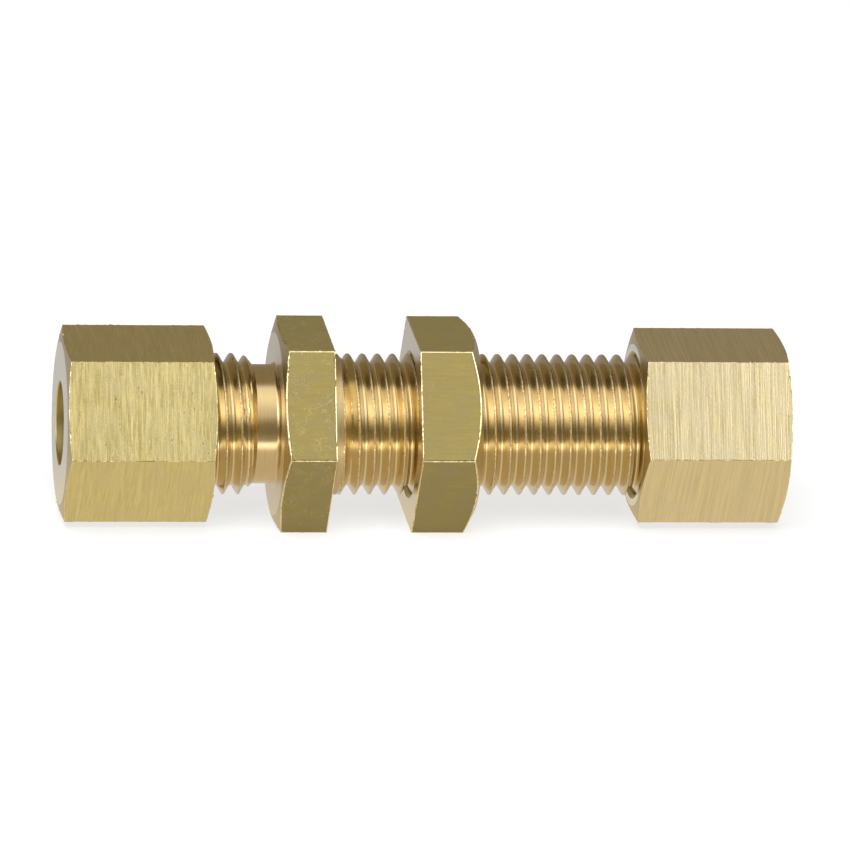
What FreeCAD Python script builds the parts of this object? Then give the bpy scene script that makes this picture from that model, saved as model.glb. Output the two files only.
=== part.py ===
import FreeCAD, Part
import math
import os

# Straight bulkhead compression fitting in brass, for one tube at each end.
# All sizes are in millimetres. X runs along the bore, from the short end to the long end, and
# Z is up. The origin is on the axis, in the face of the collar that a panel is clamped against.
# The fitting lies on one flat of its collar and of its lock nut, as it comes to rest on a bench.

# Tube, bore and the two cone ports
tube_diameter = 8.0
tube_slide_gap = 0.05
flow_bore_diameter = 6.0
tube_insertion_depth = 10.0
port_mouth_diameter = 10.1
port_cone_angle = 12.0

# Metric fine thread on both ends of the body, drawn at its outer diameter and without its grooves
thread_diameter = 14.0
thread_running_gap = 0.05
thread_end_chamfer = 0.95
thread_flank_angle = 30.0

# Collar and lock nut are one wrench size, so the fitting can lie on a flat of each
clamping_across_flats = 19.0

# Body: short threaded end, undercut neck, hexagon collar, long threaded stem
collar_length = 5.1
collar_chamfer_angle = 15.0
neck_diameter = 11.8
neck_length = 2.25
neck_root_cone = 0.3
short_thread_length = 9.8
stem_length = 36.45

# Lock nut, run part of the way up the stem
lock_nut_length = 6.2
lock_nut_chamfer_angle = 28.0
lock_nut_countersink = 0.3
panel_gap = 8.4

# Union nuts, one on each end, finger tight and each turned a little out of line
union_nut_across_flats = 17.0
union_nut_length = 14.8
union_nut_chamfer_angle = 12.0
union_nut_countersink = 0.3
union_nut_tube_hole = 8.3
union_nut_hole_length = 2.65
union_nut_shoulder_angle = 45.0
union_nut_ring_gap = 0.3
union_nut_thread_relief = 2.5
left_nut_turn = 3.0
right_nut_turn = 1.3

# Cutting rings, loose between each port and its nut
ring_length = 8.5
ring_outer_diameter = 11.0
ring_nose_diameter = 9.0
ring_rear_diameter = 9.0
ring_taper_overhang = 0.4
ring_edge_width = 0.9
ring_relief_depth = 0.15
ring_relief_length = 1.6
seat_gap = 0.05

# The turned end face of a hexagon stops this far inside its flats
hexagon_face_inset = 0.45

# How far a cutting tool runs past the face that it cuts
tool_overrun = 1.0

tube_bore_radius = tube_diameter / 2 + tube_slide_gap
thread_radius = thread_diameter / 2
thread_bore_radius = thread_radius + thread_running_gap
port_mouth_radius = port_mouth_diameter / 2
port_slope = math.tan(math.radians(port_cone_angle))
neck_radius = neck_diameter / 2
left_end = -(collar_length + neck_length + short_thread_length)
right_end = stem_length


def turned(profile):
    """A solid turned about X from its profile, a closed list of (x, radius)."""
    corners = [FreeCAD.Vector(x, 0, radius) for x, radius in profile]
    face = Part.Face(Part.makePolygon(corners + corners[:1]))
    return face.revolve(FreeCAD.Vector(0, 0, 0), FreeCAD.Vector(1, 0, 0), 360)


def hexagon_blank(across_flats, start, end, start_angle, end_angle):
    """Hexagon bar with a flat down, its corners turned back by a cone at each end. No angle, no cone."""
    corner_radius = across_flats / 2 / math.cos(math.radians(30))
    corners = []
    for step in range(6):
        angle = math.radians(60 * step)
        y = corner_radius * math.cos(angle)
        z = corner_radius * math.sin(angle)
        corners.append(FreeCAD.Vector(start, y, z))
    section = Part.Face(Part.makePolygon(corners + corners[:1]))
    bar = section.extrude(FreeCAD.Vector(end - start, 0, 0))

    face_radius = across_flats / 2 - hexagon_face_inset
    clear_radius = corner_radius + tool_overrun
    envelope = [(start, 0)]
    for place, inward, angle in ((start, 1, start_angle), (end, -1, end_angle)):
        cone_length = (clear_radius - face_radius) * math.tan(math.radians(angle))
        cone = [(place, face_radius), (place + inward * cone_length, clear_radius)]
        if angle == 0:
            cone = [(place, clear_radius)]
        envelope += cone if inward == 1 else cone[::-1]
    envelope.append((end, 0))
    return bar.common(turned(envelope))


def fitting_body():
    """Collar, both threaded ends and the bore, in one piece."""
    end_radius = thread_radius - thread_end_chamfer
    neck_start = -(collar_length + neck_length)
    runout = (thread_radius - neck_radius) * math.tan(math.radians(thread_flank_angle))
    outline = [
        (left_end, 0),
        (left_end, end_radius),
        (left_end + thread_end_chamfer, thread_radius),
        (neck_start - runout, thread_radius),
        (neck_start, neck_radius),
        (-collar_length - neck_root_cone, neck_radius),
        (-collar_length, neck_radius + neck_root_cone),
        (0, thread_radius),
        (right_end - thread_end_chamfer, thread_radius),
        (right_end, end_radius),
        (right_end, 0),
    ]
    collar = hexagon_blank(clamping_across_flats, -collar_length, 0, collar_chamfer_angle, 0)
    body = turned(outline).fuse(collar)
    bore = Part.makeCylinder(
        flow_bore_diameter / 2,
        right_end - left_end,
        FreeCAD.Vector(left_end, 0, 0),
        FreeCAD.Vector(1, 0, 0),
    )
    body = body.cut(bore)
    return body.cut(at_left_end(port())).cut(at_right_end(port()))


def port():
    """The room for the tube's end and the cutting ring. It opens towards +X, in a face at x = 0."""
    cone_depth = (port_mouth_radius - tube_bore_radius) / port_slope
    return turned(
        [
            (-tube_insertion_depth, 0),
            (-tube_insertion_depth, tube_bore_radius),
            (-cone_depth, tube_bore_radius),
            (tool_overrun, port_mouth_radius + tool_overrun * port_slope),
            (tool_overrun, 0),
        ]
    )


def ring_nose():
    """Where a cutting ring's nose sits in its port, measured outwards from the body's end."""
    nose_radius = ring_nose_diameter / 2
    return -(port_mouth_radius - seat_gap - nose_radius) / port_slope


def cutting_ring():
    """One cutting ring, with its nose in the cone of the port. The body's end is at x = 0."""
    nose = ring_nose()
    rear = nose + ring_length
    nose_radius = ring_nose_diameter / 2
    outer_radius = ring_outer_diameter / 2
    rear_radius = ring_rear_diameter / 2
    taper_radius = nose_radius + (ring_taper_overhang - nose) * port_slope
    step_end = ring_taper_overhang + outer_radius - taper_radius
    relief = nose + ring_edge_width
    relief_radius = tube_bore_radius + ring_relief_depth
    return turned(
        [
            (nose, tube_bore_radius),
            (nose, nose_radius),
            (ring_taper_overhang, taper_radius),
            (step_end, outer_radius),
            (rear - (outer_radius - rear_radius), outer_radius),
            (rear, rear_radius),
            (rear, tube_bore_radius),
            (relief + ring_relief_length, tube_bore_radius),
            (relief + ring_relief_length - ring_relief_depth, relief_radius),
            (relief, relief_radius),
            (relief, tube_bore_radius),
        ]
    )


def union_nut():
    """One union nut, its shoulder against the ring. The body's end is at x = 0, the tube leaves at +X."""
    hole_radius = union_nut_tube_hole / 2
    cavity_radius = ring_outer_diameter / 2 + union_nut_ring_gap
    shoulder_slope = math.tan(math.radians(union_nut_shoulder_angle))
    shoulder_foot = ring_nose() + ring_length + seat_gap
    hole_start = shoulder_foot + (ring_rear_diameter / 2 - hole_radius) / shoulder_slope
    shoulder_start = hole_start - (cavity_radius - hole_radius) / shoulder_slope
    relief_cone = (thread_bore_radius - cavity_radius) * math.tan(math.radians(thread_flank_angle))
    back = hole_start + union_nut_hole_length
    mouth = back - union_nut_length
    inside = turned(
        [
            (mouth - tool_overrun, 0),
            (mouth - tool_overrun, thread_bore_radius + union_nut_countersink + tool_overrun),
            (mouth + union_nut_countersink, thread_bore_radius),
            (union_nut_thread_relief, thread_bore_radius),
            (union_nut_thread_relief + relief_cone, cavity_radius),
            (shoulder_start, cavity_radius),
            (hole_start, hole_radius),
            (back + tool_overrun, hole_radius),
            (back + tool_overrun, 0),
        ]
    )
    angle = union_nut_chamfer_angle
    return hexagon_blank(union_nut_across_flats, mouth, back, angle, angle).cut(inside)


def lock_nut():
    """The nut that clamps a panel against the collar, flat on the panel's side."""
    start = panel_gap
    end = start + lock_nut_length
    sink_radius = thread_bore_radius + lock_nut_countersink + tool_overrun
    hole = turned(
        [
            (start - tool_overrun, 0),
            (start - tool_overrun, sink_radius),
            (start + lock_nut_countersink, thread_bore_radius),
            (end - lock_nut_countersink, thread_bore_radius),
            (end + tool_overrun, sink_radius),
            (end + tool_overrun, 0),
        ]
    )
    return hexagon_blank(clamping_across_flats, start, end, 0, lock_nut_chamfer_angle).cut(hole)


def at_right_end(shape, turn=0):
    """Moves a shape from the drawing's x = 0 to the body's right end, turned about the axis."""
    placed = shape.copy()
    placed.rotate(FreeCAD.Vector(0, 0, 0), FreeCAD.Vector(1, 0, 0), turn)
    placed.translate(FreeCAD.Vector(right_end, 0, 0))
    return placed


def at_left_end(shape, turn=0):
    """The same at the left end, facing the other way."""
    placed = shape.copy()
    placed.rotate(FreeCAD.Vector(0, 0, 0), FreeCAD.Vector(0, 0, 1), 180)
    placed.rotate(FreeCAD.Vector(0, 0, 0), FreeCAD.Vector(1, 0, 0), turn)
    placed.translate(FreeCAD.Vector(left_end, 0, 0))
    return placed


nodes = {
    "fitting_body": fitting_body(),
    "lock_nut": lock_nut(),
    "left_union_nut": at_left_end(union_nut(), left_nut_turn),
    "right_union_nut": at_right_end(union_nut(), right_nut_turn),
    "left_cutting_ring": at_left_end(cutting_ring()),
    "right_cutting_ring": at_right_end(cutting_ring()),
}

os.makedirs("parts", exist_ok=True)
for name, shape in nodes.items():
    shape.exportStep("parts/" + name + ".step")
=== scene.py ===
"""Looks of a straight bulkhead compression fitting in brass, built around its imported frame.

X runs along the bore and Z is up. Lengths are in metres. An angle round the bore is measured
from straight up, towards the side that faces -Y.
"""

import math

import bmesh
import bpy
from mathutils import Matrix, Vector, noise


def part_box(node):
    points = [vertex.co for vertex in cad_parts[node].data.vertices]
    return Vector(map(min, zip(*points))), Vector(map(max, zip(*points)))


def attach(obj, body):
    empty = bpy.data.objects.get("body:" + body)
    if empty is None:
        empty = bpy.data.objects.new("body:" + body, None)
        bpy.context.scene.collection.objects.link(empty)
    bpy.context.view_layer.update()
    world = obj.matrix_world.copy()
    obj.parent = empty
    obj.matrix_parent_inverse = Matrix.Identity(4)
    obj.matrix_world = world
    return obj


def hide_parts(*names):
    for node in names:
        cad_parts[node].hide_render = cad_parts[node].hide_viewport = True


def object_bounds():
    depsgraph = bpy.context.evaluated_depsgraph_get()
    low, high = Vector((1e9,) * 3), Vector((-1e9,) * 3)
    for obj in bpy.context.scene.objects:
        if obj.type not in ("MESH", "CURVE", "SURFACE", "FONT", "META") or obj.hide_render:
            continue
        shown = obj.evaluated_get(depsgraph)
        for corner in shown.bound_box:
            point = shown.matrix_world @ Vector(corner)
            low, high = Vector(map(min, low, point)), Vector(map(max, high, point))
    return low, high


bl_info = {
    "name": "Bulkhead Compression Fitting",
    "version": (1, 0, 0),
    "blender": (4, 5, 0),
    "location": "View3D > Sidebar > Fitting",
    "description": "Builds the threads, nuts and brass finishes of a bulkhead compression fitting",
    "category": "Add Mesh",
}

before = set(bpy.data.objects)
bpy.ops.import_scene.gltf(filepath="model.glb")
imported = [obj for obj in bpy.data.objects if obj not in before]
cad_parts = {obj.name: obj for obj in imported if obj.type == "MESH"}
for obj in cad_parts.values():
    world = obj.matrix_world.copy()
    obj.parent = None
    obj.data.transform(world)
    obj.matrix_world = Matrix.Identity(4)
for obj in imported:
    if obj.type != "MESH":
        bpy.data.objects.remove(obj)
cad_low, cad_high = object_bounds()

MM = 0.001
MERGE_DISTANCE = 1e-7
WELD_DISTANCE = MERGE_DISTANCE * 10
HEXAGON_STEP = math.radians(60)

# How finely the pieces are divided, in columns round the axis and rows along it. A vertex within
# COLUMN_SLACK of a column, in columns, counts as on it.
BODY_COLUMNS = 120
NUT_COLUMNS = 360
MOST_ROWS = 56
ROW_LENGTH = 0.13 * MM
COLUMN_SLACK = 0.002

# A thread's root is rounded by this share of its pitch
ROOT_ROUNDING = 0.1443

# Edges sharper than SHARP are broken, and past CREASE the shading breaks too
SHARP = math.radians(40)
CREASE = math.radians(22)

# How broken edges wander: the grain, the size of calm and rough patches with their least, middle and
# swing, and the shares on ridges and in the flats' outline. The seed makes every run the same.
NOISE_SEED = 14
BURR_GRAIN = 0.16 * MM
BURR_PATCH = 1.3 * MM
CALMEST, USUAL, SWING = 0.2, 0.6, 1.5
RIDGE_WANDER = 0.5
OUTLINE_WANDER = 1.5

# The torn stretch beside the neck, in run-outs, and the size of its tears
TORN_STRETCH = 1.4
TEAR_GRAIN = 0.15 * MM

# Scales of the noise in the brass, per millimetre
SLOW_TONE = 0.55
MOTTLE = 3.2
GRAIN = 4.5
PIT_DENSITY = 5.0
SCUFF_DENSITY = 2.2

# Shades of marks and mottle against the brass, and of flecks against the grime
MARK_SHADE = 0.6
MOTTLE_SHADE = 0.5
FLECK_GRIME = 2

# How much the effects change the roughness, the colour and the height where they are strongest
MARK_ROUGHNESS = 0.12
PIT_ROUGHNESS = 0.2
SCUFF_COLOUR, SCUFF_HEIGHT = 0.35, 4.0
FLECK_COLOUR, FLECK_HEIGHT = 0.5, 9.0

# The cards that the brass reflects, and how far out the arch's two ends begin and take over
CARD_RADIUS = 0.45
CARD_LENGTH = 2.4
CARD_STEPS = 92
ARCH_FOOT = math.radians(2)
ENDS_BEGIN = 0.14
ENDS_FULL = 0.2

# The floor, and how far it and the level card lie under the fitting
FLOOR_SIZE = 4.0
FLOOR_GAP = 0.01 * MM
LEVEL_GAP = 0.005 * MM

# The camera's sensor in millimetres, and the nearest and farthest that it sees
SENSOR_WIDTH = 36.0
NEAREST, FARTHEST = 0.01, 20.0

# Material slots of every piece, in this order. PLAIN is the land of the body, and the smoother flats
# of a union nut.
THREAD, TURNED, FACED, CONE, FLAT, BURR, RIDGE, PLAIN = range(8)


def millimetres(label, note, value):
    """A length that a user can change."""
    return bpy.props.FloatProperty(name=label, description=note, default=value * MM, unit="LENGTH")


def degrees(label, note, value):
    """An angle that a user can change."""
    angle = math.radians(value)
    return bpy.props.FloatProperty(name=label, description=note, default=angle, unit="ROTATION")


def amount(label, note, value):
    """A plain number that a user can change."""
    return bpy.props.FloatProperty(name=label, description=note, default=value, min=0)


def colour(label, note, value):
    """A colour that a user can change."""
    return bpy.props.FloatVectorProperty(
        name=label, description=note, default=value, size=3, subtype="COLOR", min=0, max=1
    )


class FittingSizes(bpy.types.PropertyGroup):
    """Sizes of the fitting that its frame doesn't give."""

    pitch: millimetres("Thread pitch", "Advance of the thread in one turn", 1.5)
    thread_depth: millimetres("Thread depth", "From crest to root, along the radius", 0.92)
    thread_diameter: millimetres("Thread diameter", "Outer diameter of the thread", 14.0)
    crest_rounding: millimetres("Crest rounding", "Radius of the thread's crests", 0.12)
    stem_crest: millimetres("Stem crest", "Place of one crest on top of the stem", 0.78)
    stub_crest: millimetres("Stub crest", "Place of one crest on top of the short end", -9.34)
    end_chamfer: millimetres("Thread end chamfer", "Chamfer at both ends of the body", 0.95)
    land: millimetres("Land", "Plain stretch of the stem beside the collar", 1.1)
    land_runout: millimetres("Land run-out", "Length over which the first groove deepens", 0.9)
    stub_runout: millimetres("Neck run-out", "Length over which the last crest falls to the neck", 0.9)
    torn_runout: millimetres("Torn run-out", "How uneven the run-out beside the neck is", 0.03)

    collar_length: millimetres("Collar length", "Length of the hexagon collar", 5.1)
    collar_chamfer: degrees("Collar chamfer", "Cone on the collar's corners", 15)
    neck_diameter: millimetres("Neck diameter", "Diameter of the undercut neck", 11.8)
    neck_length: millimetres("Neck length", "Length of the undercut neck", 2.25)
    neck_fillet: millimetres("Neck fillet", "Fillet between the neck and the collar", 0.45)

    bore: millimetres("Bore", "Diameter of the flow passage", 6.0)
    socket: millimetres("Tube socket", "Diameter of the socket for the tube", 8.1)
    socket_depth: millimetres("Socket depth", "How far the tube goes in", 10.0)
    port_mouth: millimetres("Port mouth", "Diameter of the cone at the body's end", 10.1)
    port_angle: degrees("Port cone", "Half angle of the cone port", 12)

    face_inset: millimetres("Turned face", "How far the turned faces stop inside the flats", 0.45)
    nut_bore: millimetres("Nut bore", "Diameter of the three nuts' threaded bores", 14.1)
    countersink: millimetres("Countersink", "Countersink at the nuts' mouths", 0.3)
    lock_nut_chamfer: degrees("Lock nut chamfer", "Cone on the lock nut's outer side", 28)
    union_flats: millimetres("Union nut flats", "Union nut's size across flats", 17.0)
    union_chamfer: degrees("Union nut chamfer", "Cone on both sides of a union nut", 12)
    union_hole: millimetres("Tube hole", "Diameter of a union nut's tube hole", 8.3)
    hole_rim: millimetres("Tube hole rim", "Broken edge of the tube hole", 0.1)
    union_hole_length: millimetres("Tube hole length", "Length of the tube hole", 2.65)
    union_cavity: millimetres("Ring cavity", "Diameter of the room for the cutting ring", 11.6)
    union_relief: millimetres("Thread relief", "Where the nut's thread ends, from the body's end", 2.5)
    union_relief_angle: degrees("Relief cone", "Cone between the nut's thread and its cavity", 30)
    left_turn: degrees("Left nut turn", "Turn of the left nut out of line", 3.0)
    right_turn: degrees("Right nut turn", "Turn of the right nut out of line", 1.3)

    drawn_edge: millimetres("Drawn edge", "Width of the broken edges of the collar and the lock nut", 0.13)
    milled_edge: millimetres("Milled edge", "Width of the broken edges of the union nuts", 0.16)
    milled_ridge: millimetres("Milled ridge", "Width of the long edges of the union nuts", 0.05)
    raggedness: amount("Raggedness", "How uneven the broken edges are, as a share of their width", 0.75)


class FittingColours(bpy.types.PropertyGroup):
    """Brass colours of the fitting's finishes."""

    thread: colour("Thread brass", "Threads of the body", (0.75, 0.605, 0.33))
    turned: colour("Turned brass", "Neck and ports", (0.70, 0.52, 0.245))
    land: colour("Land brass", "Plain stretch of the stem beside the collar", (0.64, 0.47, 0.22))
    bored: colour("Bored brass", "Bores of the nuts", (0.84, 0.68, 0.29))
    faced: colour("Faced brass", "The lock nut's two sides", (0.82, 0.69, 0.40))
    nut_face: colour("Faced nut brass", "End faces of the union nuts", (0.95, 0.84, 0.52))
    collar_face: colour("Faced collar brass", "The collar's two sides", (0.82, 0.71, 0.47))
    cone: colour("Chamfered brass", "Cones on the hexagons' corners", (0.63, 0.50, 0.23))
    drawn: colour("Drawn brass", "Flats of the collar and the lock nut", (0.297, 0.23, 0.064))
    milled: colour("Milled brass", "Flats of the left union nut", (0.89, 0.73, 0.29))
    pale: colour("Pale milled brass", "Flats of the right union nut", (0.78, 0.64, 0.33))
    # Paler fresh-cut brass of the broken edges and burrs. It is made pale enough to also paint a highlight
    # along the edges.
    edge: colour("Edge brass and highlight", "Broken edges and burrs, with a painted highlight", (0.98, 0.82, 0.42))
    ridge: colour("Ridge brass", "Long edges of the union nuts", (0.64, 0.51, 0.25))
    grime: colour("Grime", "Oil and dust in pits and marks", (0.16, 0.10, 0.04))
    ring: colour("Ring brass", "Cutting rings", (0.80, 0.60, 0.28))
    left_smooth: amount("Left smooth", "Shade of the left nut's smoother flats, against its others", 0.88)
    right_smooth: amount("Right smooth", "Shade of the right nut's smoother flats, against its others", 1.1)


class FittingStudio(bpy.types.PropertyGroup):
    """Camera and light of the studio."""

    azimuth: degrees("Azimuth", "Camera's side angle, to the left of straight on", 8.47)
    elevation: degrees("Elevation", "Camera's height angle", 19.18)
    roll: degrees("Roll", "Camera's roll", 2.984)
    distance: millimetres("Distance", "From the camera to what it looks at", 903.3)
    target_right: millimetres("Aim right", "Aim point, to the picture's right of the origin", 9.938)
    target_up: millimetres("Aim up", "Aim point, above the origin in the picture", -0.114)
    lens: amount("Lens", "Focal length in millimetres, on a sensor 36 mm wide", 386.47)
    floor: colour("Floor", "Colour of the floor", (0.93, 0.93, 0.93))
    floor_white: amount("Floor white", "How much of the floor the camera sees as plain white", 0.7)
    lamp_watts: amount("Lamp", "Power of the big lamp above", 11.0)
    fill_watts: amount("Fill", "Power of the lamp in front", 1.1)
    sky: amount("Sky", "Strength of the white surroundings as light on the object", 0.45)


def mesh_of(bm, name):
    """A mesh of a bmesh, which is freed."""
    mesh = bpy.data.meshes.new(name)
    bm.to_mesh(mesh)
    bm.free()
    return mesh


def absorb(bm, part):
    """Adds a bmesh to another and frees it."""
    mesh = mesh_of(part, "part")
    bm.from_mesh(mesh)
    bpy.data.meshes.remove(mesh)


def spun(outline, columns, **way):
    """A bmesh of an outline of (place, radius) points, spun once round X."""
    part = bmesh.new()
    points = [part.verts.new((place, 0, radius)) for place, radius in outline]
    lines = [part.edges.new(pair) for pair in zip(points, points[1:])]
    bmesh.ops.spin(
        part, geom=points + lines, cent=(0, 0, 0), axis=(1, 0, 0), angle=math.tau, steps=columns, **way
    )
    return part


def turned(bm, outline, columns, finish):
    """Turns an outline of (place, radius) points about X and adds it in one finish."""
    part = spun(outline, columns, use_merge=True)
    for face in part.faces:
        face.material_index = finish
    absorb(bm, part)


def radius_of(vert):
    """A vertex's distance from the axis."""
    return math.hypot(vert.co.y, vert.co.z)


def angle_of(vert):
    """A vertex's angle round the axis, from straight up towards -Y."""
    return math.atan2(-vert.co.y, vert.co.z)


def set_radius(vert, radius):
    """Moves a vertex straight out from the axis, or in."""
    scale = radius / radius_of(vert)
    vert.co.y *= scale
    vert.co.z *= scale


def hexagon_radius(angle, across_flats):
    """How far a hexagon with a flat on top reaches at an angle."""
    off_middle = (angle + HEXAGON_STEP / 2) % HEXAGON_STEP - HEXAGON_STEP / 2
    return across_flats / 2 / math.cos(off_middle)


def arc(along, centre, rounding, angles):
    """Points of an arc round a centre, by angle from straight out. A rounding under 0 faces inwards."""
    return [
        (along + rounding * math.sin(angle), centre + rounding * math.cos(angle))
        for angle in map(math.radians, angles)
    ]


def thread_outline(sizes):
    """One pitch of a thread with 60 degree flanks, from crest to crest, as (along, radius) points."""
    crest_round = sizes.crest_rounding
    crest_centre = sizes.thread_diameter / 2 - crest_round
    root_round = ROOT_ROUNDING * sizes.pitch
    root_centre = sizes.thread_diameter / 2 - sizes.thread_depth + root_round
    crest = arc(0, crest_centre, crest_round, (0, 20, 40, 60))
    root = arc(sizes.pitch / 2, root_centre, -root_round, (60, 40, 20, 0))
    top, foot = Vector(crest[-1]), Vector(root[0])
    flank = [tuple(top.lerp(foot, share)) for share in (0.25, 0.5, 0.75)]
    half = crest + flank + root
    return half + [(sizes.pitch - along, radius) for along, radius in reversed(half[:-1])]


def one_turn(sizes, start):
    """The mesh of one turn of a right-handed thread whose crest is at start on top."""
    outline = [(start + along, radius) for along, radius in thread_outline(sizes)]
    advance = sizes.pitch / BODY_COLUMNS
    return mesh_of(spun(outline, BODY_COLUMNS, dvec=(advance, 0, 0)), "turn")


def thin_rim(part, place, largest):
    """Leaves a rim at a place, inside the largest radius, with just BODY_COLUMNS vertices."""
    column = math.tau / BODY_COLUMNS

    def between(vert):
        """Whether a vertex is on the rim, but on none of its columns."""
        if abs(vert.co.x - place) >= MERGE_DISTANCE or radius_of(vert) >= largest:
            return False
        return abs(angle_of(vert) / column - round(angle_of(vert) / column)) > COLUMN_SLACK

    bmesh.ops.dissolve_verts(part, verts=[vert for vert in part.verts if between(vert)])


def threaded(bm, sizes, first, last, crest, envelope):
    """A right-handed thread from first to last, with a crest on top at the place given.

    envelope(place) gives the two radii that the thread is kept between.
    """
    pitch = sizes.pitch
    turn = one_turn(sizes, crest + pitch * math.floor((first - pitch - crest) / pitch))
    part = bmesh.new()
    for _ in range(math.ceil((last - first) / pitch) + 2):
        part.from_mesh(turn)
        turn.transform(Matrix.Translation((pitch, 0, 0)))
    bpy.data.meshes.remove(turn)
    bmesh.ops.remove_doubles(part, verts=part.verts, dist=WELD_DISTANCE)
    for vert in part.verts:
        low, high = envelope(vert.co.x)
        set_radius(vert, min(max(radius_of(vert), low), high))
    for place, outward in ((first, -1), (last, 1)):
        bmesh.ops.bisect_plane(
            part,
            geom=part.verts[:] + part.edges[:] + part.faces[:],
            dist=MERGE_DISTANCE / 10,
            plane_co=(place, 0, 0),
            plane_no=(outward, 0, 0),
            clear_outer=True,
        )
        thin_rim(part, place, sizes.thread_diameter)
    for face in part.faces:
        face.material_index = THREAD
    absorb(bm, part)


def hexagon(bm, sizes, across_flats, first, last, welded=False):
    """Outside of a hexagon with a flat on top, closed down to a hole at each end.

    first and last are the two ends: the place, the hole's radius, and the angle of the cone on the
    corners, 0 for none. welded leaves the rims of the holes with as many vertices as the body's
    other rims.
    """
    corner_radius = across_flats / 2 / math.cos(HEXAGON_STEP / 2)
    face_radius = across_flats / 2 - sizes.face_inset
    for place, hole, angle in (first, last):
        cap = bmesh.new()
        turned(cap, [(place, hole), (place, face_radius)], NUT_COLUMNS, FACED)
        turned(cap, [(place, face_radius), (place, corner_radius)], NUT_COLUMNS, CONE if angle else FACED)
        if welded:
            thin_rim(cap, place, (hole + face_radius) / 2)
        absorb(bm, cap)
    (start, _, start_angle), (end, _, end_angle) = first, last
    length = end - start
    count = min(MOST_ROWS, math.ceil(length / ROW_LENGTH))
    rows = [(start + length * row / count, corner_radius) for row in range(count + 1)]
    turned(bm, rows, NUT_COLUMNS, FLAT)
    for vert in bm.verts:
        if abs(radius_of(vert) - corner_radius) < MERGE_DISTANCE:
            radius = hexagon_radius(angle_of(vert), across_flats)
            share = (vert.co.x - start) / length
            low = start + (radius - face_radius) * math.tan(start_angle)
            high = end - (radius - face_radius) * math.tan(end_angle)
            vert.co.x = low + (high - low) * share
            set_radius(vert, radius)


def closed(bm):
    """Merges the seams and turns every face outwards."""
    bmesh.ops.remove_doubles(bm, verts=bm.verts, dist=WELD_DISTANCE)
    bmesh.ops.recalc_face_normals(bm, faces=bm.faces)


def bevelled(bm, edges, width, finish):
    """Bevels some edges and gives the new faces a finish."""
    made = bmesh.ops.bevel(
        bm,
        geom=edges,
        offset=width,
        offset_type="OFFSET",
        segments=2,
        profile=0.5,
        affect="EDGES",
        clamp_overlap=True,
        material=-1,
    )
    for face in made["faces"]:
        face.material_index = finish


def break_edges(bm, width, ridge_width, raggedness):
    """Breaks the sharp edges round the flats, and leaves them ragged, more so in patches.

    The outline of the flats is broken to one width, and the ridges between them to another.
    """
    ragged = width * raggedness

    def sharp(wanted):
        """Sharp edges whose faces' finishes are as wanted."""
        return [
            edge
            for edge in bm.edges
            if edge.is_manifold
            and edge.calc_face_angle() > SHARP
            and wanted({face.material_index for face in edge.link_faces})
        ]

    # The bevels take the burr or ridge finishes. The burr finish's paler brass paints a highlight along the
    # edges.
    bevelled(bm, sharp(lambda met: met == {FLAT}), ridge_width, RIDGE)
    bevelled(bm, sharp(lambda met: met & {FLAT, RIDGE} and met & {FACED, CONE}), width, BURR)
    for vert in bm.verts:
        met = {face.material_index for face in vert.link_faces}
        if not met & {BURR, RIDGE}:
            continue
        patch = max(CALMEST, USUAL + noise.noise(vert.co / BURR_PATCH) * SWING)
        wander = noise.noise_vector(vert.co / BURR_GRAIN) * ragged * patch
        if met <= {BURR, RIDGE}:
            vert.co += wander if BURR in met else wander * RIDGE_WANDER
        elif FLAT in met and not met & {FACED, CONE, RIDGE}:
            vert.co.x += wander.x * OUTLINE_WANDER


def object_from(bm, name, materials):
    """Makes an object of a bmesh."""
    made = bpy.data.objects.new(name, mesh_of(bm, name))
    for material in materials:
        made.data.materials.append(material)
    bpy.context.scene.collection.objects.link(made)
    return made


def piece_from(bm, name, looks):
    """Makes a piece of a bmesh, with crisp edges where it turns or changes finish."""
    for face in bm.faces:
        face.smooth = True
    for edge in bm.edges:
        if edge.is_manifold:
            finishes_met = {face.material_index for face in edge.link_faces}
            edge.smooth = len(finishes_met) == 1 and edge.calc_face_angle() < CREASE
    return object_from(bm, name, looks)


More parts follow.
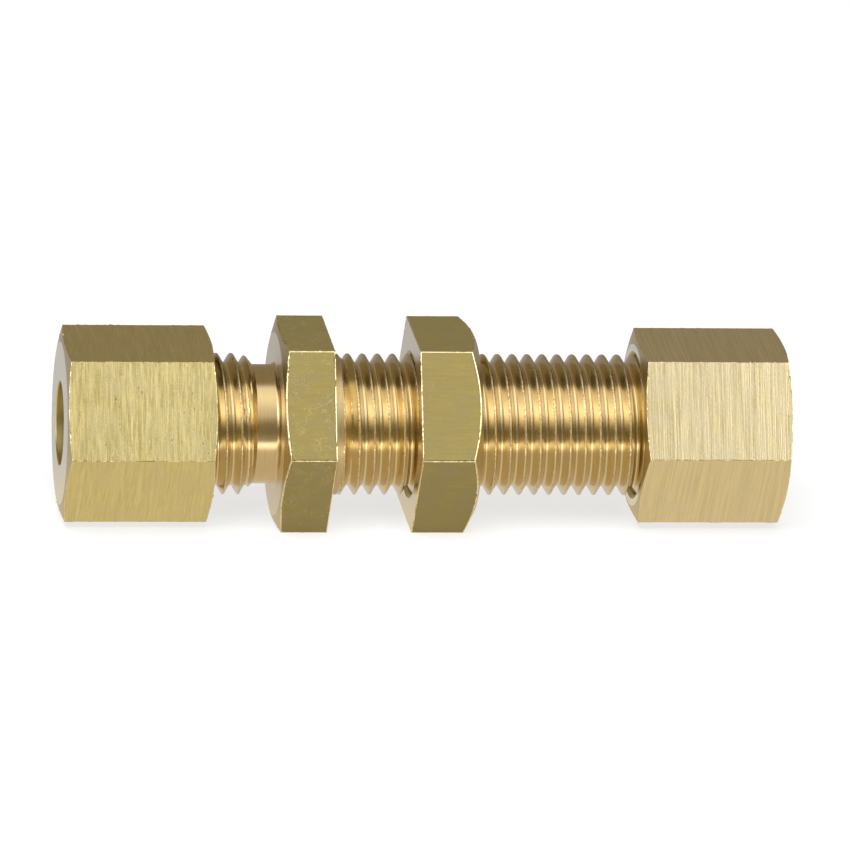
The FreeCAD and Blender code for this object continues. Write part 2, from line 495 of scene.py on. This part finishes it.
class Wiring:
    """Short ways to add nodes to one tree and to join them."""

    def __init__(self, tree):
        self.tree = tree

    def add(self, kind, inputs=None, **settings):
        """A new node with its settings. An input is a value, or the output that feeds it."""
        node = self.tree.nodes.new(kind)
        for name, value in settings.items():
            setattr(node, name, value)
        for name, value in (inputs or {}).items():
            socket = node.inputs[name]
            if isinstance(value, bpy.types.NodeSocket):
                self.join(value, socket)
            else:
                socket.default_value = value
        return node

    def join(self, source, socket):
        """Feeds a socket."""
        self.tree.links.new(source, socket)

    def math(self, operation, first, second=0.0):
        """The result of one operation on one value or two."""
        node = self.add("ShaderNodeMath", {0: first, 1: second}, operation=operation)
        return node.outputs[0]

    def total(self, *amounts):
        """Several values added up."""
        result = amounts[0]
        for value in amounts[1:]:
            result = self.math("ADD", result, value)
        return result

    def times(self, first, second):
        """Two values multiplied."""
        return self.math("MULTIPLY", first, second)

    def stretch(self, vector, scale):
        """A vector with each axis scaled."""
        node = self.add("ShaderNodeVectorMath", {0: vector, 1: scale}, operation="MULTIPLY")
        return node.outputs[0]

    def noise(self, vector, scale, detail=3.0, roughness=0.55):
        """Soft noise between 0 and 1."""
        inputs = {"Vector": vector, "Scale": scale, "Detail": detail, "Roughness": roughness}
        return self.add("ShaderNodeTexNoise", inputs).outputs["Fac"]

    def band(self, value, low, high):
        """0 below low, 1 above high, and smooth between."""
        inputs = {"Value": value, "From Min": low, "From Max": high}
        return self.add("ShaderNodeMapRange", inputs, interpolation_type="SMOOTHSTEP").outputs["Result"]

    def mix(self, share, first, second):
        """Two colours mixed."""
        return self.add("ShaderNodeMix", {0: share, 6: first, 7: second}, data_type="RGBA").outputs[2]


def blank_material(name):
    """A material without nodes, and its wiring."""
    material = bpy.data.materials.new(name)
    material.use_nodes = True
    material.node_tree.nodes.clear()
    return material, Wiring(material.node_tree)


def new_group(name, setting, kind="NodeSocketFloat", results=("Mask",)):
    """A shader node group fed with a place and one setting. Returns its wiring, inputs and results."""
    group = bpy.data.node_groups.new(name, "ShaderNodeTree")
    for label, socket in (("Vector", "NodeSocketVector"), (setting, kind)):
        group.interface.new_socket(name=label, in_out="INPUT", socket_type=socket)
    for label in results:
        group.interface.new_socket(name=label, in_out="OUTPUT", socket_type="NodeSocketFloat")
    wiring = Wiring(group)
    return wiring, wiring.add("NodeGroupInput").outputs, wiring.add("NodeGroupOutput").inputs


def cutting_marks_group():
    """Fine parallel marks that a cutter leaves. Spacing gives marks per millimetre along each axis.

    Mask is 1 between the marks, Fine is their height, and Lines is 1 on a few single bright ones.
    """
    wiring, entry, leaving = new_group(
        "Cutting marks", "Spacing", "NodeSocketVector", ("Mask", "Fine", "Lines")
    )
    place = wiring.stretch(entry["Vector"], entry["Spacing"])
    wide = wiring.noise(place, scale=1.0, detail=2.0)
    fine = wiring.noise(place, scale=1.9, detail=1.0)
    hair = wiring.noise(place, scale=3.6, detail=1.0)
    marks = wiring.total(wiring.times(wide, 0.25), wiring.times(fine, 0.4), wiring.times(hair, 0.35))
    single = wiring.noise(place, scale=1.4, detail=0.0)
    wiring.join(wiring.band(marks, low=0.4, high=0.58), leaving["Mask"])
    wiring.join(marks, leaving["Fine"])
    wiring.join(wiring.band(single, low=0.64, high=0.7), leaving["Lines"])


def pits_group():
    """Small ragged pits and specks, in patches."""
    wiring, entry, leaving = new_group("Pits", "Density")
    specks = wiring.noise(entry["Vector"], entry["Density"], detail=2.0, roughness=0.7)
    specks = wiring.band(specks, low=0.66, high=0.72)
    patches = wiring.band(wiring.noise(entry["Vector"], scale=0.6, detail=2.0), low=0.42, high=0.62)
    wiring.join(wiring.times(specks, patches), leaving["Mask"])


def crest_flecks_group():
    """Tiny torn flecks along a thread's crests. Crest is the crests' radius in millimetres."""
    wiring, entry, leaving = new_group("Crest flecks", "Crest")
    across = wiring.stretch(entry["Vector"], (0, 1, 1))
    radius = wiring.add("ShaderNodeVectorMath", {0: across}, operation="LENGTH").outputs["Value"]
    depth = wiring.math("SUBTRACT", entry["Crest"], radius)
    near = wiring.math("SUBTRACT", 1.0, wiring.band(depth, low=0.02, high=0.12))
    torn = wiring.noise(entry["Vector"], scale=7.0, detail=2.0, roughness=0.7)
    torn = wiring.band(torn, low=0.5, high=0.64)
    wiring.join(wiring.times(near, torn), leaving["Mask"])


def scuffs_group():
    """Faint curved scratches from lying among other parts, in patches."""
    wiring, entry, leaving = new_group("Scuffs", "Density")
    bend = wiring.add("ShaderNodeTexNoise", {"Vector": entry["Vector"], "Scale": 1.3, "Detail": 1.0})
    inputs = {0: entry["Vector"], 1: bend.outputs["Color"]}
    warped = wiring.add("ShaderNodeVectorMath", inputs, operation="ADD").outputs[0]
    inputs = {"Vector": warped, "Scale": entry["Density"]}
    lines = wiring.add("ShaderNodeTexVoronoi", inputs, feature="DISTANCE_TO_EDGE").outputs["Distance"]
    patches = wiring.band(wiring.noise(entry["Vector"], scale=0.8, detail=2.0), low=0.47, high=0.62)
    thin = wiring.math("SUBTRACT", 1.0, wiring.band(lines, low=0.0, high=0.07))
    wiring.join(wiring.times(thin, patches), leaving["Mask"])


def tone_group():
    """Soft changes of shade over a surface."""
    wiring, entry, leaving = new_group("Tone", "Scale")
    soft = wiring.noise(entry["Vector"], entry["Scale"], detail=4.0)
    wiring.join(wiring.band(soft, low=0.3, high=0.7), leaving["Mask"])


def brass(
    name, base, spacing, rough, marks, depth,
    pits=0.0, dash=1.0, scuffs=0.0, tone=0.04, flecks=0.0, grain=0.0, lines=0.0, metal=1.0,
):
    """One brass finish.

    spacing gives the cutting marks per millimetre along each axis, and depth their depth in
    millimetres. rough is the roughness that the effects add to, and marks, pits, scuffs, tone,
    flecks, grain and lines are how strongly each effect shows. A dash under 1 draws the pits out
    round the axis, and metal under 1 is a dull skin on the brass.
    """
    wiring = blank_material(name + " brass")[1]
    place = wiring.add("ShaderNodeTexCoord").outputs["Object"]
    place = wiring.add("ShaderNodeMapping", {"Vector": place, "Scale": (1 / MM, 1 / MM, 1 / MM)}).outputs[0]
    base = Vector(base)
    grime = Vector(bpy.context.scene.fitting_colours.grime)
    # The paler brass of the burrs, whose brightness is partly a painted highlight. Here it tints the scuffs
    # and the single bright cutting lines.
    edge = Vector(bpy.context.scene.fitting_colours.edge)

    def effect(group_name, vector, setting):
        """One shared effect, placed in this material."""
        group = bpy.data.node_groups[group_name]
        return wiring.add("ShaderNodeGroup", {0: vector, 1: setting}, node_tree=group).outputs

    def shade(colour_value):
        """A colour with its alpha."""
        return tuple(colour_value) + (1,)

    cut = effect("Cutting marks", place, spacing)
    slow = effect("Tone", place, SLOW_TONE)["Mask"]
    grey = Vector((1, 1, 1)) * (base.x + base.y + base.z) / 3
    colours = wiring.mix(slow, shade(base.lerp(grey, tone * 2) * (1 - tone)), shade(base))
    patchy = wiring.band(slow, low=-0.6, high=1.0)
    in_marks = wiring.times(wiring.math("SUBTRACT", 1.0, cut["Mask"]), marks)
    in_marks = wiring.times(in_marks, patchy)
    colours = wiring.mix(in_marks, colours, shade(base * MARK_SHADE))
    mottle = effect("Tone", place, MOTTLE)["Mask"]
    colours = wiring.mix(wiring.times(mottle, tone), colours, shade(base * MOTTLE_SHADE))
    colours = wiring.mix(wiring.times(wiring.times(cut["Lines"], patchy), lines), colours, shade(edge))
    roughness = wiring.total(rough, wiring.times(cut["Mask"], marks * MARK_ROUGHNESS))
    height = cut["Fine"]
    if pits:
        dashes = wiring.stretch(place, (1.0, dash, dash))
        pit = wiring.times(effect("Pits", dashes, PIT_DENSITY)["Mask"], pits)
        colours = wiring.mix(pit, colours, shade(grime))
        roughness = wiring.total(roughness, wiring.times(pit, PIT_ROUGHNESS))
        height = wiring.math("SUBTRACT", height, pit)
    if scuffs:
        scuff = wiring.times(effect("Scuffs", place, SCUFF_DENSITY)["Mask"], scuffs)
        colours = wiring.mix(wiring.times(scuff, SCUFF_COLOUR), colours, shade(edge))
        height = wiring.total(height, wiring.times(scuff, SCUFF_HEIGHT))
    if flecks:
        crest = bpy.context.scene.fitting_sizes.thread_diameter / 2 / MM
        fleck = wiring.times(effect("Crest flecks", place, crest)["Mask"], flecks)
        colours = wiring.mix(wiring.times(fleck, FLECK_COLOUR), colours, shade(grime * FLECK_GRIME))
        height = wiring.total(height, wiring.times(fleck, FLECK_HEIGHT))
    if grain:
        fine = wiring.noise(place, GRAIN, detail=3.0, roughness=0.7)
        height = wiring.total(height, wiring.times(fine, grain))
    bump = wiring.add("ShaderNodeBump", {"Height": height, "Strength": 1.0, "Distance": depth * MM})
    inputs = {"Base Color": colours, "Roughness": roughness, "Metallic": metal, "Normal": bump.outputs[0]}
    shader = wiring.add("ShaderNodeBsdfPrincipled", inputs)
    wiring.add("ShaderNodeOutputMaterial", {"Surface": shader.outputs["BSDF"]})


def make_finishes():
    """All brass finishes of the fitting, once."""
    if bpy.data.node_groups.get("Pits"):
        return
    colours = bpy.context.scene.fitting_colours
    cutting_marks_group()
    pits_group()
    crest_flecks_group()
    scuffs_group()
    tone_group()

    # Cutting marks per millimetre along X, Y and Z
    lathe = (3.0, 0.12, 0.12)
    cutter = (2.8, 0.15, 0.15)
    fine_cutter = (3.2, 0.05, 0.05)
    die = (0.15, 2.4, 2.4)
    every_way = (2.5, 2.5, 2.5)
    coarse = (1.4, 1.4, 1.4)

    fine = {"marks": 0.2, "depth": 0.002}
    faced = {"marks": 0.15, "depth": 0.004, "pits": 0.3, "grain": 0.6}
    drawn = {"rough": 0.44, "depth": 0.008, "tone": 0.07, "grain": 1.6, "metal": 0.6}
    milled = {"rough": 0.21, "dash": 0.35, "tone": 0.07, "grain": 0.5}
    deep = {"marks": 0.75, "depth": 0.032, "pits": 1.0, "lines": 0.45}
    shallow = {"marks": 0.6, "depth": 0.025, "pits": 0.5, "lines": 0.25}
    smooth = {"rough": 0.21, "depth": 0.016, "pits": 0.2, "tone": 0.05, "grain": 0.4, "lines": 0.2}
    worn = {"pits": 1.0, "grain": 1.5}
    left_smooth = Vector(colours.milled) * colours.left_smooth
    right_smooth = Vector(colours.pale) * colours.right_smooth

    brass("Thread", colours.thread, lathe, rough=0.17, pits=0.3, flecks=1.0, **fine)
    brass("Turned", colours.turned, lathe, rough=0.19, pits=0.2, **fine)
    brass("Land", colours.land, lathe, rough=0.38, marks=0.3, depth=0.006, pits=0.4, grain=0.8)
    brass("Bored", colours.bored, lathe, rough=0.32, marks=0.3, depth=0.006, pits=0.4)
    brass("Ring", colours.ring, lathe, rough=0.18, marks=0.3, depth=0.0012, pits=0.3)
    brass("Faced", colours.faced, every_way, rough=0.24, **faced)
    brass("Faced nut", colours.nut_face, every_way, rough=0.24, **faced)
    brass("Faced collar", colours.collar_face, every_way, rough=0.33, **faced)
    brass("Chamfered", colours.cone, every_way, rough=0.31, marks=0.2, depth=0.006, pits=0.4, grain=0.6)
    brass("Drawn collar", colours.drawn, die, marks=0.2, pits=0.3, scuffs=0.45, **drawn)
    brass("Drawn nut", colours.drawn, die, marks=0.25, pits=0.1, scuffs=0.1, **drawn)
    brass("Left milled", colours.milled, cutter, **deep, **milled)
    brass("Right milled", colours.pale, fine_cutter, **shallow, **milled)
    brass("Left smooth", left_smooth, cutter, marks=0.35, **smooth)
    brass("Right smooth", right_smooth, fine_cutter, marks=0.4, **smooth)
    # Burrs and broken edges in paler fresh-cut brass, partly a painted highlight along the edges
    brass("Burr and highlight", colours.edge, coarse, rough=0.12, marks=1.0, depth=0.015, **worn)
    brass("Fine burr and highlight", colours.edge, coarse, rough=0.12, marks=0.8, depth=0.015, pits=0.8, grain=1.5)
    brass("Ridge", colours.ridge, coarse, rough=0.2, marks=0.6, depth=0.03, lines=0.8, **worn)


def finishes(*names):
    """Brass finishes by name."""
    make_finishes()
    return [bpy.data.materials[name + " brass"] for name in names]


class BuildFittingBody(bpy.types.Operator):
    """Builds the body: both threads, the neck, the collar, the ports and the bore"""

    bl_idname = "fitting.build_body"
    bl_label = "Build Fitting Body"

    def execute(self, context):
        sizes = context.scene.fitting_sizes
        low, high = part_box("fitting_body")
        left, right = low.x, high.x
        thread_radius = sizes.thread_diameter / 2
        neck_radius = sizes.neck_diameter / 2
        end_radius = thread_radius - sizes.end_chamfer
        neck_start = -(sizes.collar_length + sizes.neck_length)

        def stem_envelope(place):
            """The land beside the collar, and the chamfer at the stem's end."""
            filled = thread_radius - max(0, place - sizes.land) * sizes.thread_depth / sizes.land_runout
            chamfer = end_radius + max(0, right - place)
            return min(filled, thread_radius), min(chamfer, thread_radius)

        def stub_envelope(place):
            """The chamfer at the short end, and the fall to the neck."""
            chamfer = end_radius + max(0, place - left)
            rise = (thread_radius - neck_radius) / sizes.stub_runout
            fall = neck_radius + max(0, neck_start - place) * rise
            return 0, min(chamfer, fall, thread_radius)

        bm = bmesh.new()
        threaded(bm, sizes, 0.0, right, sizes.stem_crest, stem_envelope)
        for face in bm.faces:
            if all(thread_radius - radius_of(vert) < MERGE_DISTANCE for vert in face.verts):
                face.material_index = PLAIN
        threaded(bm, sizes, left, neck_start, sizes.stub_crest, stub_envelope)
        for vert in bm.verts:
            if neck_start - sizes.stub_runout * TORN_STRETCH < vert.co.x < neck_start - MERGE_DISTANCE:
                vert.co += noise.noise_vector(vert.co / TEAR_GRAIN) * sizes.torn_runout
        collar_start = -sizes.collar_length
        rounding = sizes.neck_fillet
        left_side = (collar_start, neck_radius + rounding, sizes.collar_chamfer)
        hexagon(bm, sizes, high.z - low.z, left_side, (0.0, thread_radius, 0.0), welded=True)
        fillet = arc(collar_start - rounding, neck_radius + rounding, -rounding, range(0, -91, -15))
        turned(bm, [(neck_start, neck_radius)] + fillet, BODY_COLUMNS, TURNED)
        mouth, socket, bore = sizes.port_mouth / 2, sizes.socket / 2, sizes.bore / 2
        cone = (mouth - socket) / math.tan(sizes.port_angle)
        depth = sizes.socket_depth
        port = [(0, end_radius), (0, mouth), (cone, socket), (depth, socket), (depth, bore)]
        right_port = [(right - inward, radius) for inward, radius in port]
        left_port = [(left + inward, radius) for inward, radius in reversed(port)]
        turned(bm, right_port + left_port, BODY_COLUMNS, TURNED)
        closed(bm)
        break_edges(bm, sizes.drawn_edge, sizes.drawn_edge, sizes.raggedness)
        looks = finishes(
            "Thread", "Turned", "Faced collar", "Chamfered", "Drawn collar", "Fine burr and highlight", "Fine burr and highlight", "Land"
        )
        body = piece_from(bm, "threaded_body", looks)
        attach(body, "body")
        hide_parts("fitting_body")
        return {"FINISHED"}


class BuildLockNut(bpy.types.Operator):
    """Builds the lock nut on the stem"""

    bl_idname = "fitting.build_lock_nut"
    bl_label = "Build Lock Nut"

    def execute(self, context):
        sizes = context.scene.fitting_sizes
        low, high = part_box("lock_nut")
        bore = sizes.nut_bore / 2
        sink = sizes.countersink
        mouth = bore + sink
        outer_side = (high.x, mouth, sizes.lock_nut_chamfer)
        bm = bmesh.new()
        hexagon(bm, sizes, high.z - low.z, (low.x, mouth, 0.0), outer_side)
        inside = [(low.x, mouth), (low.x + sink, bore), (high.x - sink, bore), (high.x, mouth)]
        turned(bm, inside, NUT_COLUMNS, TURNED)
        closed(bm)
        break_edges(bm, sizes.drawn_edge, sizes.drawn_edge, sizes.raggedness)
        looks = finishes("Thread", "Bored", "Faced", "Chamfered", "Drawn nut", "Fine burr and highlight", "Fine burr and highlight")
        nut = piece_from(bm, "panel_lock_nut", looks)
        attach(nut, "lock_nut")
        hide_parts("lock_nut")
        return {"FINISHED"}


class BuildUnionNuts(bpy.types.Operator):
    """Builds the union nut on each end"""

    bl_idname = "fitting.build_union_nuts"
    bl_label = "Build Union Nuts"

    def execute(self, context):
        sizes = context.scene.fitting_sizes
        body_low, body_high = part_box("fitting_body")
        for side, end, facing, turn in (
            ("left", body_low.x, Matrix.Rotation(math.pi, 4, "Z"), sizes.left_turn),
            ("right", body_high.x, Matrix.Identity(4), sizes.right_turn),
        ):
            low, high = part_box(side + "_union_nut")
            outward = 1 if side == "right" else -1
            mouth, back = sorted(((low.x - end) * outward, (high.x - end) * outward))
            bm = bmesh.new()
            self.shape(bm, sizes, mouth, back)
            placing = Matrix.Translation((end, 0, 0)) @ Matrix.Rotation(turn, 4, "X") @ facing
            bmesh.ops.transform(bm, matrix=placing, verts=bm.verts)
            milled, smooth = side.capitalize() + " milled", side.capitalize() + " smooth"
            looks = finishes("Thread", "Bored", "Faced nut", "Chamfered", milled, "Burr and highlight", "Ridge", smooth)
            nut = piece_from(bm, side + "_hexagon_union_nut", looks)
            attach(nut, side + "_nut")
            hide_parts(side + "_union_nut")
        return {"FINISHED"}

    def shape(self, bm, sizes, mouth, back):
        """A union nut whose mouth and back are measured outwards from the body's end.

        Every second of its flats is the smoother kind.
        """
        bore = sizes.nut_bore / 2
        sink = sizes.countersink
        hole = sizes.union_hole / 2
        cavity = sizes.union_cavity / 2
        rim = sizes.hole_rim
        cone = sizes.union_chamfer
        hexagon(bm, sizes, sizes.union_flats, (mouth, bore + sink, cone), (back, hole + rim, cone))
        hole_start = back - sizes.union_hole_length
        inside = [
            (mouth, bore + sink),
            (mouth + sink, bore),
            (sizes.union_relief, bore),
            (sizes.union_relief + (bore - cavity) * math.tan(sizes.union_relief_angle), cavity),
            (hole_start - (cavity - hole), cavity),
            (hole_start, hole),
            (back - rim, hole),
            (back, hole + rim),
        ]
        turned(bm, inside, NUT_COLUMNS, TURNED)
        closed(bm)
        break_edges(bm, sizes.milled_edge, sizes.milled_ridge, sizes.raggedness)
        for face in bm.faces:
            if face.material_index == FLAT:
                middle = face.calc_center_median()
                flats_from_top = round(math.atan2(-middle.y, middle.z) / HEXAGON_STEP)
                if flats_from_top % 2 == 0:
                    face.material_index = PLAIN


class FinishCuttingRings(bpy.types.Operator):
    """Gives the cutting rings their brass"""

    bl_idname = "fitting.finish_cutting_rings"
    bl_label = "Finish Cutting Rings"

    def execute(self, context):
        (ring_brass,) = finishes("Ring")
        for side in ("left", "right"):
            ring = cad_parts[side + "_cutting_ring"]
            for slot in ring.material_slots:
                slot.material = ring_brass
        return {"FINISHED"}


class SetFittingStudio(bpy.types.Operator):
    """Sets the floor, the soft light, the glowing cards with painted reflections, and the camera"""

    bl_idname = "fitting.set_studio"
    bl_label = "Set Fitting Studio"

    def execute(self, context):
        studio = context.scene.fitting_studio
        self.floor(studio)
        self.cards()
        self.world(context, studio)
        self.lamps(studio)
        self.camera(context, studio)
        context.scene.view_settings.view_transform = "Standard"
        return {"FINISHED"}

    def staged(self, name, bm, material):
        """An object of a bmesh, with one material."""
        stage = object_from(bm, name, [material])
        return stage

    def floor(self, studio):
        """A plain pale floor just under the fitting, nearly white to the camera, with a faint shadow."""
        material, wiring = blank_material("Pale floor")
        paint = wiring.add("ShaderNodeBsdfDiffuse", {"Color": tuple(studio.floor) + (1,)}).outputs["BSDF"]
        glow = wiring.add("ShaderNodeEmission", {"Color": (1, 1, 1, 1), "Strength": 1.0})
        white = glow.outputs["Emission"]
        camera_ray = wiring.add("ShaderNodeLightPath").outputs["Is Camera Ray"]
        share = wiring.times(camera_ray, studio.floor_white)
        mixed = wiring.add("ShaderNodeMixShader", {0: share, 1: paint, 2: white}).outputs["Shader"]
        wiring.add("ShaderNodeOutputMaterial", {"Surface": mixed})
        bm = bmesh.new()
        bmesh.ops.create_grid(bm, x_segments=1, y_segments=1, size=FLOOR_SIZE)
        bmesh.ops.translate(bm, verts=bm.verts, vec=(0, 0, cad_low.z - FLOOR_GAP))
        self.staged("floor", bm, material)

    def cards(self):
        """Glowing cards that only brass sees, painted with the bright and dark bands that it reflects: an
        arch over the fitting and a level one below it, which stands in for the floor in the brass with a
        painted bright stripe in front.

        Their shades are listed by angle round the arch, in degrees up from level in front, and by
        distance behind the axis on the level one, in millimetres. The arch has its own shades
        towards its two ends.
        """
        arch = [
            (-2, (0.25, 0.22, 0.16)),
            (20, (0.29, 0.26, 0.20)),
            (36, (0.87, 0.87, 0.87)),
            (47, (0.99, 0.99, 0.99)),
            (56, (1.25, 1.25, 1.25)),
            (70, (1.45, 1.45, 1.45)),
            (92, (1.30, 1.30, 1.30)),
            (101, (0.32, 0.27, 0.20)),
            (182, (0.32, 0.29, 0.24)),
        ]
        arch_ends = [
            (-2, (0.20, 0.18, 0.15)),
            (8, (0.22, 0.20, 0.16)),
            (16, (0.55, 0.53, 0.52)),
            (29, (1.50, 1.50, 1.60)),
            (41, (2.90, 3.00, 3.60)),
            (54, (2.90, 3.00, 3.60)),
            (70, (1.80, 1.85, 2.20)),
            (88, (1.50, 1.50, 1.80)),
            (97, (0.06, 0.05, 0.04)),
            (138, (0.06, 0.05, 0.04)),
            (155, (0.30, 0.28, 0.25)),
        ]
        level = [
            (-100, (0.34, 0.31, 0.24)),
            (-38, (0.36, 0.33, 0.25)),
            (-34, (2.4, 2.4, 2.4)),
            (-26, (2.4, 2.4, 2.4)),
            (-19, (0.77, 0.71, 0.63)),
            (0, (0.77, 0.71, 0.63)),
            (20, (0.57, 0.585, 0.66)),
            (62, (0.57, 0.585, 0.66)),
            (95, (0.36, 0.34, 0.32)),
        ]
        material, wiring, parts = self.card_material("Arched card")
        angle = wiring.math("ARCTAN2", parts["Z"], wiring.times(parts["Y"], -1.0))
        angle = wiring.math("DEGREES", angle)
        share = wiring.band(wiring.math("ABSOLUTE", parts["X"]), ENDS_BEGIN, ENDS_FULL)
        colours = wiring.mix(share, self.ramp(wiring, angle, arch), self.ramp(wiring, angle, arch_ends))
        self.shine(wiring, colours)
        bm = bmesh.new()
        foot = Vector((0, -CARD_RADIUS * math.cos(ARCH_FOOT), -CARD_RADIUS * math.sin(ARCH_FOOT)))
        ends = [bm.verts.new(foot + Vector((along, 0, 0))) for along in (-CARD_LENGTH / 2, CARD_LENGTH / 2)]
        edge = bm.edges.new(ends)
        sweep = math.pi + 2 * ARCH_FOOT
        bmesh.ops.spin(
            bm, geom=ends + [edge], cent=(0, 0, 0), axis=(1, 0, 0), angle=-sweep, steps=CARD_STEPS
        )
        self.card("arched_card", bm, material)

        material, wiring, parts = self.card_material("Level card")
        self.shine(wiring, self.ramp(wiring, wiring.math("DIVIDE", parts["Y"], MM), level))
        bm = bmesh.new()
        bmesh.ops.create_grid(bm, x_segments=1, y_segments=1, size=0.5)
        bmesh.ops.scale(bm, verts=bm.verts, vec=(CARD_LENGTH, 2 * CARD_RADIUS, 1))
        bmesh.ops.translate(bm, verts=bm.verts, vec=(0, 0, cad_low.z - LEVEL_GAP))
        self.card("level_card", bm, material)

    def card(self, name, bm, material):
        """A glowing card that shows in brass as a painted reflection, and nowhere else."""
        card = self.staged(name, bm, material)
        for rays in ("camera", "diffuse", "shadow", "transmission"):
            setattr(card, "visible_" + rays, False)

    def card_material(self, name):
        """An empty material, its wiring, and the X, Y and Z of the point that it shades."""
        material, wiring = blank_material(name)
        place = wiring.add("ShaderNodeTexCoord").outputs["Object"]
        return material, wiring, wiring.add("ShaderNodeSeparateXYZ", {"Vector": place}).outputs

    def ramp(self, wiring, value, stops):
        """The colour at a value, from (value, colour) stops."""
        first, last = stops[0][0], stops[-1][0]
        share = wiring.add("ShaderNodeMapRange", {"Value": value, "From Min": first, "From Max": last})
        ramp = wiring.add("ShaderNodeValToRGB", {"Fac": share.outputs["Result"]})
        elements = ramp.color_ramp.elements
        elements[0].color = stops[0][1] + (1,)
        elements[1].color = stops[-1][1] + (1,)
        for stop, shade in stops[1:-1]:
            elements.new((stop - first) / (last - first)).color = shade + (1,)
        return ramp.outputs["Color"]

    def shine(self, wiring, colours):
        """Makes a card's material give off its colours."""
        glow = wiring.add("ShaderNodeEmission", {"Color": colours, "Strength": 1.0})
        wiring.add("ShaderNodeOutputMaterial", {"Surface": glow.outputs["Emission"]})

    def world(self, context, studio):
        """White surroundings, and a weaker white as light."""
        world = bpy.data.worlds.new("White surroundings")
        context.scene.world = world
        world.use_nodes = True
        world.node_tree.nodes.clear()
        wiring = Wiring(world.node_tree)
        path = wiring.add("ShaderNodeLightPath").outputs
        seen = wiring.math("MAXIMUM", path["Is Camera Ray"], path["Is Glossy Ray"])
        seen = wiring.math("MAXIMUM", seen, path["Is Transmission Ray"])
        strength = wiring.add("ShaderNodeMix", {0: seen, 2: studio.sky, 3: 1.0}, data_type="FLOAT")
        inputs = {"Color": (1, 1, 1, 1), "Strength": strength.outputs[0]}
        back = wiring.add("ShaderNodeBackground", inputs)
        wiring.add("ShaderNodeOutputWorld", {"Surface": back.outputs["Background"]})

    def lamps(self, studio):
        """A big soft lamp above and in front, and a weaker one low in front."""
        for name, watts, size, where in (
            ("key_lamp", studio.lamp_watts, 0.7, Vector((-0.15, -0.45, 0.8))),
            ("fill_lamp", studio.fill_watts, 0.6, Vector((0.5, -0.7, 0.35))),
        ):
            lamp = bpy.data.lights.new(name, "AREA")
            lamp.energy = watts
            lamp.size = size
            holder = bpy.data.objects.new(name, lamp)
            holder.location = where
            holder.rotation_euler = (-where).to_track_quat("-Z", "Y").to_euler()
            holder.visible_glossy = False
            bpy.context.scene.collection.objects.link(holder)

    def camera(self, context, studio):
        """The camera at the photograph's viewing angle."""
        azimuth, elevation, roll = studio.azimuth, studio.elevation, studio.roll
        level_right = Vector((math.cos(azimuth), -math.sin(azimuth), 0))
        back = Vector(
            (
                -math.sin(azimuth) * math.cos(elevation),
                -math.cos(azimuth) * math.cos(elevation),
                math.sin(elevation),
            )
        )
        level_up = back.cross(level_right)
        right = level_right * math.cos(roll) + level_up * math.sin(roll)
        up = level_up * math.cos(roll) - level_right * math.sin(roll)
        data = bpy.data.cameras.new("studio_camera")
        data.sensor_width = SENSOR_WIDTH
        data.lens = studio.lens
        data.clip_start = NEAREST
        data.clip_end = FARTHEST
        holder = bpy.data.objects.new("studio_camera", data)
        context.scene.collection.objects.link(holder)
        aim = right * studio.target_right + up * studio.target_up
        turn = Matrix((right, up, back)).transposed().to_4x4()
        holder.matrix_world = Matrix.Translation(aim + back * studio.distance) @ turn
        context.scene.camera = holder


class FittingPanel(bpy.types.Panel):
    """Lists the steps that build the fitting, and its sizes and colours"""

    bl_idname = "VIEW3D_PT_fitting"
    bl_label = "Compression Fitting"
    bl_space_type = "VIEW_3D"
    bl_region_type = "UI"
    bl_category = "Fitting"

    def draw(self, context):
        column = self.layout.column()
        for operator in OPERATORS:
            column.operator(operator.bl_idname)
        for name in GROUPS:
            group = getattr(context.scene, name)
            box = self.layout.box()
            for setting in group.__annotations__:
                box.prop(group, setting)


OPERATORS = (BuildFittingBody, BuildLockNut, BuildUnionNuts, FinishCuttingRings, SetFittingStudio)
GROUPS = {
    "fitting_sizes": FittingSizes,
    "fitting_colours": FittingColours,
    "fitting_studio": FittingStudio,
}


def register():
    noise.seed_set(NOISE_SEED)
    for group in GROUPS.values():
        bpy.utils.register_class(group)
    for operator in OPERATORS:
        bpy.utils.register_class(operator)
    bpy.utils.register_class(FittingPanel)
    for name, group in GROUPS.items():
        setattr(bpy.types.Scene, name, bpy.props.PointerProperty(type=group))


def unregister():
    for name in GROUPS:
        delattr(bpy.types.Scene, name)
    bpy.utils.unregister_class(FittingPanel)
    for operator in reversed(OPERATORS):
        bpy.utils.unregister_class(operator)
    for group in reversed(list(GROUPS.values())):
        bpy.utils.unregister_class(group)


def main():
    register()
    bpy.ops.fitting.build_body()
    bpy.ops.fitting.build_lock_nut()
    bpy.ops.fitting.build_union_nuts()
    bpy.ops.fitting.finish_cutting_rings()
    bpy.ops.fitting.set_studio()


if __name__ == "__main__":
    main()
